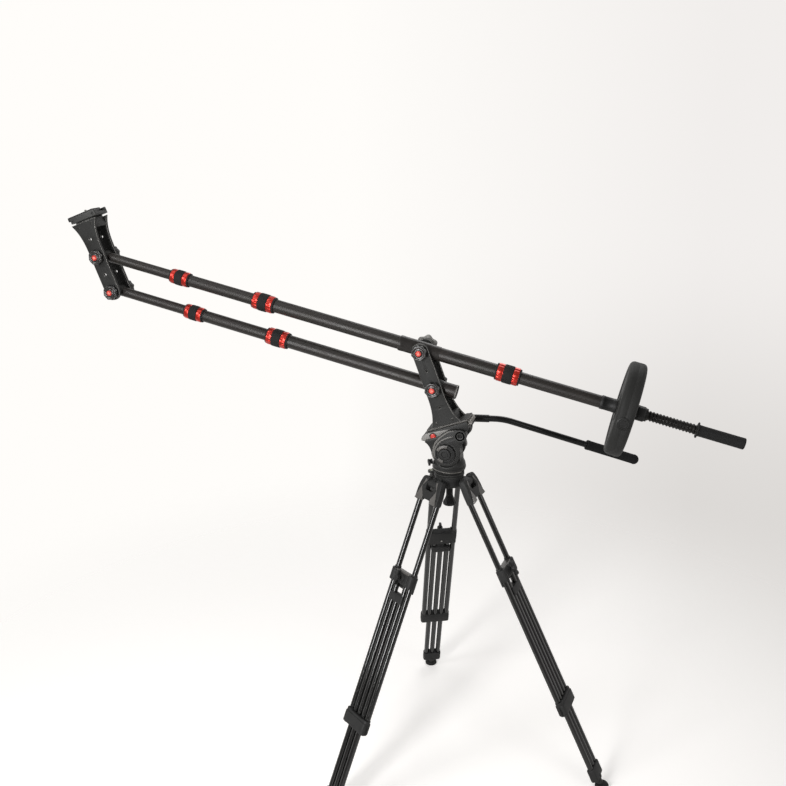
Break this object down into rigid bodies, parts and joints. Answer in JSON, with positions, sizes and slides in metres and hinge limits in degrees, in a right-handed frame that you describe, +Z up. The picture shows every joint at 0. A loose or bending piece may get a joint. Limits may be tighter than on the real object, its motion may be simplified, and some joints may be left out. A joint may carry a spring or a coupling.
{
  "type": "camera jib crane",
  "caption": "Camera jib crane: two parallel telescopic booms with side-plate brackets and a counterweight, on a fluid head and a tripod.",
  "frame": {"origin": "on the floor below the middle of the bounding box", "axes": "+X towards the counterweight end, +Y to the far side (the pan handle's side), +Z up"},
  "size_m": [1.7604, 0.774, 1.5418],
  "materials": {
    "carbon": "satin woven carbon",
    "black_metal": "black anodised",
    "tripod_metal": "gloss black",
    "red_metal": "red anodised with a black rubber ring",
    "grey_metal": "grey anodised",
    "black_plastic": "fine texture",
    "grey_plastic": "satin",
    "red_plastic": "gloss",
    "black_steel": "blackened",
    "bare_steel": "turned",
    "rubber": "ribbed",
    "vinyl": "grained vinyl"
  },
  "bodies": {
    "stand": {"tripod_crown": "tripod_metal", "head_level_base": "black_metal"},
    "bowl_knob": {"bowl_clamp_knob": "black_plastic"},
    "rear_leg": {"leg_rear_upper": "tripod_metal"},
    "rear_foot": {"leg_rear_lower": "tripod_metal"},
    "rear_wing": {"leg_rear_wing_knob": "black_plastic"},
    "far_leg": {"leg_far_upper": "tripod_metal"},
    "far_foot": {"leg_far_lower": "tripod_metal"},
    "far_wing": {"leg_far_wing_knob": "black_plastic"},
    "near_leg": {"leg_near_upper": "tripod_metal"},
    "near_foot": {"leg_near_lower": "tripod_metal"},
    "near_wing": {"leg_near_wing_knob": "black_plastic"},
    "head_pan": {"head_pan_body": "black_metal"},
    "pan_lever": {"pan_lock_lever": "black_plastic"},
    "head_tilt": {"head_tilt_cradle": "black_metal"},
    "drag_dial": {"tilt_drag_dial": "black_plastic"},
    "release_button": {"plate_release_button": "red_plastic"},
    "handle": {"pan_handle": "black_metal", "pan_handle_grip": "rubber"},
    "handle_knob": {"pan_handle_knob": "black_plastic"},
    "rear_bracket": {"slide_plate": "grey_metal", "rear_base_block": "black_metal", "rear_plate_near": "black_metal", "rear_plate_far": "black_metal"},
    "knob_rear_upper": {"rear_upper_knob": "black_plastic"},
    "knob_rear_lower": {"rear_lower_knob": "black_plastic"},
    "bolt_rear_upper": {"rear_upper_bolt": "grey_plastic"},
    "bolt_rear_lower": {"rear_lower_bolt": "black_plastic"},
    "upper_boom": {"upper_base_tube": "carbon", "boom_sleeve": "black_metal"},
    "lock_upper_middle": {"upper_middle_lock": "red_metal"},
    "upper_middle": {"upper_middle_tube": "carbon"},
    "lock_upper_front": {"upper_front_lock": "red_metal"},
    "upper_tip": {"upper_tip_tube": "carbon"},
    "lower_boom": {"lower_base_tube": "carbon"},
    "lock_lower_middle": {"lower_middle_lock": "red_metal"},
    "lower_middle": {"lower_middle_tube": "carbon"},
    "lock_lower_front": {"lower_front_lock": "red_metal"},
    "lower_tip": {"lower_tip_tube": "carbon"},
    "lock_tail": {"tail_lock": "red_metal"},
    "tail": {"upper_tail_tube": "carbon", "weight_end_sleeve": "black_plastic", "weight_bar": "black_steel", "tail_grip": "rubber"},
    "weight": {"weight_plate": "vinyl", "weight_fill_plug": "black_plastic"},
    "washer": {"collar_washer": "rubber"},
    "nut": {"collar_nut": "black_plastic"},
    "front_bracket": {"front_plate_near": "black_metal", "front_plate_far": "black_metal", "front_top_block": "black_metal", "camera_clamp": "black_metal"},
    "clamp_knob": {"camera_clamp_knob": "black_plastic"},
    "plate": {"camera_plate": "rubber"},
    "screw": {"camera_screw": "bare_steel"},
    "knob_front_upper": {"front_upper_knob": "black_plastic"},
    "knob_front_lower": {"front_lower_knob": "black_plastic"},
    "bolt_front_upper": {"front_upper_bolt": "black_plastic"},
    "bolt_front_lower": {"front_lower_bolt": "black_plastic"}
  },
  "joints": [
    {"name": "bowl_knob_turn", "type": "hinge", "parent": "stand", "child": "bowl_knob", "pos_m": [0.16182, -0.0295, 0.8], "axis": [0, 0, -1], "range_deg": [0, 360]},
    {"name": "rear_leg_spread", "type": "hinge", "parent": "stand", "child": "rear_leg", "pos_m": [0.21134, -0.03637, 0.83601], "axis": [0.1374, 0.9905, 0], "range_deg": [0, 21]},
    {"name": "rear_leg_extend", "type": "slide", "parent": "rear_leg", "child": "rear_foot", "axis": [0.4092, -0.0568, -0.9107], "range_m": [-0.17, 0.28]},
    {"name": "rear_wing_turn", "type": "hinge", "parent": "rear_foot", "child": "rear_wing", "pos_m": [0.3163, -0.05093, 0.60242], "axis": [0.902, -0.1252, 0.4131], "range_deg": [0, 180]},
    {"name": "far_leg_spread", "type": "hinge", "parent": "stand", "child": "far_leg", "pos_m": [0.14301, 0.01683, 0.83601], "axis": [-0.9265, -0.3762, 0], "range_deg": [0, 21]},
    {"name": "far_leg_extend", "type": "slide", "parent": "far_leg", "child": "far_foot", "axis": [-0.1554, 0.3828, -0.9107], "range_m": [-0.17, 0.28]},
    {"name": "far_wing_turn", "type": "hinge", "parent": "far_foot", "child": "far_wing", "pos_m": [0.10314, 0.115, 0.60242], "axis": [-0.3426, 0.8438, 0.4131], "range_deg": [0, 180]},
    {"name": "near_leg_spread", "type": "hinge", "parent": "stand", "child": "near_leg", "pos_m": [0.1311, -0.06895, 0.83601], "axis": [0.7891, -0.6143, 0], "range_deg": [0, 21]},
    {"name": "near_leg_extend", "type": "slide", "parent": "near_leg", "child": "near_foot", "axis": [-0.2538, -0.326, -0.9107], "range_m": [-0.17, 0.28]},
    {"name": "near_wing_turn", "type": "hinge", "parent": "near_foot", "child": "near_wing", "pos_m": [0.06601, -0.15256, 0.60242], "axis": [-0.5594, -0.7186, 0.4131], "range_deg": [0, 180]},
    {"name": "head_pan", "type": "hinge", "parent": "stand", "child": "head_pan", "pos_m": [0.16182, -0.0295, 0.8633], "axis": [0, 0, 1], "continuous": true},
    {"name": "pan_lock", "type": "hinge", "parent": "head_pan", "child": "pan_lever", "pos_m": [0.16182, -0.0295, 0.89231], "axis": [-0.9063, -0.4226, 0], "range_deg": [0, 40]},
    {"name": "head_tilt", "type": "hinge", "parent": "head_pan", "child": "head_tilt", "pos_m": [0.16182, -0.0295, 0.92531], "axis": [0, 1, 0], "range_deg": [-15, 15]},
    {"name": "tilt_drag", "type": "hinge", "parent": "head_tilt", "child": "drag_dial", "pos_m": [0.16182, -0.0295, 0.92531], "axis": [0, -1, 0], "range_deg": [0, 270]},
    {"name": "plate_release", "type": "slide", "parent": "head_tilt", "child": "release_button", "axis": [0, 1, 0], "range_m": [0, 0.003], "stiffness_N_per_m": 300},
    {"name": "handle_angle", "type": "hinge", "parent": "head_tilt", "child": "handle", "pos_m": [0.20009, -0.0295, 0.97425], "axis": [0, 1, 0], "range_deg": [-30, 45]},
    {"name": "handle_knob_turn", "type": "hinge", "parent": "handle", "child": "handle_knob", "pos_m": [0.20009, -0.0295, 0.97425], "axis": [0, 1, 0], "range_deg": [0, 360]},
    {"name": "plate_slide", "type": "slide", "parent": "head_tilt", "child": "rear_bracket", "axis": [0.9466, 0, 0.3223], "range_m": [0, 0.03]},
    {"name": "knob_rear_upper_turn", "type": "hinge", "parent": "rear_bracket", "child": "knob_rear_upper", "pos_m": [0.0976, -0.0295, 1.18655], "axis": [0, -1, 0], "range_deg": [0, 360]},
    {"name": "knob_rear_lower_turn", "type": "hinge", "parent": "rear_bracket", "child": "knob_rear_lower", "pos_m": [0.12983, -0.0295, 1.09189], "axis": [0, -1, 0], "range_deg": [0, 360]},
    {"name": "bolt_rear_upper_turn", "type": "hinge", "parent": "rear_bracket", "child": "bolt_rear_upper", "pos_m": [0.0976, -0.0295, 1.18655], "axis": [0, 1, 0], "range_deg": [0, 360]},
    {"name": "bolt_rear_lower_turn", "type": "hinge", "parent": "rear_bracket", "child": "bolt_rear_lower", "pos_m": [0.12983, -0.0295, 1.09189], "axis": [0, 1, 0], "range_deg": [0, 360]},
    {"name": "boom_tilt", "type": "hinge", "parent": "rear_bracket", "child": "upper_boom", "pos_m": [0.0976, -0.0295, 1.18655], "axis": [0, 1, 0], "range_deg": [-45, 25]},
    {"name": "lower_boom_tilt", "type": "hinge", "parent": "rear_bracket", "child": "lower_boom", "pos_m": [0.12983, -0.0295, 1.09189], "axis": [0, 1, 0], "range_deg": [-45, 25]},
    {"name": "upper_middle_lock_turn", "type": "hinge", "parent": "upper_boom", "child": "lock_upper_middle", "pos_m": [0.0976, -0.0295, 1.18655], "axis": [-0.969, 0, 0.247], "range_deg": [0, 90]},
    {"name": "upper_middle_slide", "type": "slide", "parent": "upper_boom", "child": "upper_middle", "axis": [-0.969, 0, 0.247], "range_m": [-0.13, 0.15]},
    {"name": "upper_front_lock_turn", "type": "hinge", "parent": "upper_middle", "child": "lock_upper_front", "pos_m": [0.0976, -0.0295, 1.18655], "axis": [-0.969, 0, 0.247], "range_deg": [0, 90]},
    {"name": "upper_tip_slide", "type": "slide", "parent": "upper_middle", "child": "upper_tip", "axis": [-0.969, 0, 0.247], "range_m": [-0.13, 0.15]},
    {"name": "lower_middle_lock_turn", "type": "hinge", "parent": "lower_boom", "child": "lock_lower_middle", "pos_m": [0.12983, -0.0295, 1.09189], "axis": [-0.969, 0, 0.247], "range_deg": [0, 90]},
    {"name": "lower_middle_slide", "type": "slide", "parent": "lower_boom", "child": "lower_middle", "axis": [-0.969, 0, 0.247], "range_m": [-0.13, 0.15]},
    {"name": "lower_front_lock_turn", "type": "hinge", "parent": "lower_middle", "child": "lock_lower_front", "pos_m": [0.12983, -0.0295, 1.09189], "axis": [-0.969, 0, 0.247], "range_deg": [0, 90]},
    {"name": "lower_tip_slide", "type": "slide", "parent": "lower_middle", "child": "lower_tip", "axis": [-0.969, 0, 0.247], "range_m": [-0.13, 0.15]},
    {"name": "tail_lock_turn", "type": "hinge", "parent": "upper_boom", "child": "lock_tail", "pos_m": [0.0976, -0.0295, 1.18655], "axis": [0.969, 0, -0.247], "range_deg": [0, 90]},
    {"name": "tail_slide", "type": "slide", "parent": "upper_boom", "child": "tail", "axis": [0.969, 0, -0.247], "range_m": [-0.05, 0.06]},
    {"name": "weight_turn", "type": "hinge", "parent": "tail", "child": "weight", "pos_m": [0.6005, -0.0295, 1.05836], "axis": [0.969, 0, -0.247], "continuous": true},
    {"name": "nut_travel", "type": "slide", "parent": "tail", "child": "washer", "axis": [0.969, 0, -0.247], "range_m": [0, 0.08]},
    {"name": "nut_turn", "type": "hinge", "parent": "washer", "child": "nut", "pos_m": [0.63831, -0.0295, 1.04872], "axis": [0.969, 0, -0.247], "range_deg": [0, 3600]},
    {"name": "front_bracket_tilt", "type": "hinge", "parent": "upper_tip", "child": "front_bracket", "pos_m": [-0.79292, -0.0295, 1.41354], "axis": [0, 1, 0], "range_deg": [-25, 45]},
    {"name": "clamp_knob_turn", "type": "hinge", "parent": "front_bracket", "child": "clamp_knob", "pos_m": [-0.82776, -0.0295, 1.51588], "axis": [0, 1, 0], "range_deg": [0, 360]},
    {"name": "camera_plate_slide", "type": "slide", "parent": "front_bracket", "child": "plate", "axis": [0.9466, 0, 0.3223], "range_m": [-0.01, 0.01]},
    {"name": "camera_screw_turn", "type": "hinge", "parent": "plate", "child": "screw", "pos_m": [-0.79292, -0.0295, 1.41354], "axis": [0.3223, 0, -0.9466], "range_deg": [0, 360]},
    {"name": "knob_front_upper_turn", "type": "hinge", "parent": "front_bracket", "child": "knob_front_upper", "pos_m": [-0.79292, -0.0295, 1.41354], "axis": [0, -1, 0], "range_deg": [0, 360]},
    {"name": "knob_front_lower_turn", "type": "hinge", "parent": "front_bracket", "child": "knob_front_lower", "pos_m": [-0.7607, -0.0295, 1.31888], "axis": [0, -1, 0], "range_deg": [0, 360]},
    {"name": "bolt_front_upper_turn", "type": "hinge", "parent": "front_bracket", "child": "bolt_front_upper", "pos_m": [-0.79292, -0.0295, 1.41354], "axis": [0, 1, 0], "range_deg": [0, 360]},
    {"name": "bolt_front_lower_turn", "type": "hinge", "parent": "front_bracket", "child": "bolt_front_lower", "pos_m": [-0.7607, -0.0295, 1.31888], "axis": [0, 1, 0], "range_deg": [0, 360]}
  ],
  "couplings": [
    {"joint": "lower_boom_tilt", "follows": "boom_tilt", "ratio": 1},
    {"joint": "front_bracket_tilt", "follows": "boom_tilt", "ratio": -1},
    {"joint": "lower_middle_slide", "follows": "upper_middle_slide", "ratio": 1},
    {"joint": "lower_tip_slide", "follows": "upper_tip_slide", "ratio": 1},
    {"joint": "nut_travel", "follows": "nut_turn", "m_per_rad": 0.0012732}
  ]
}
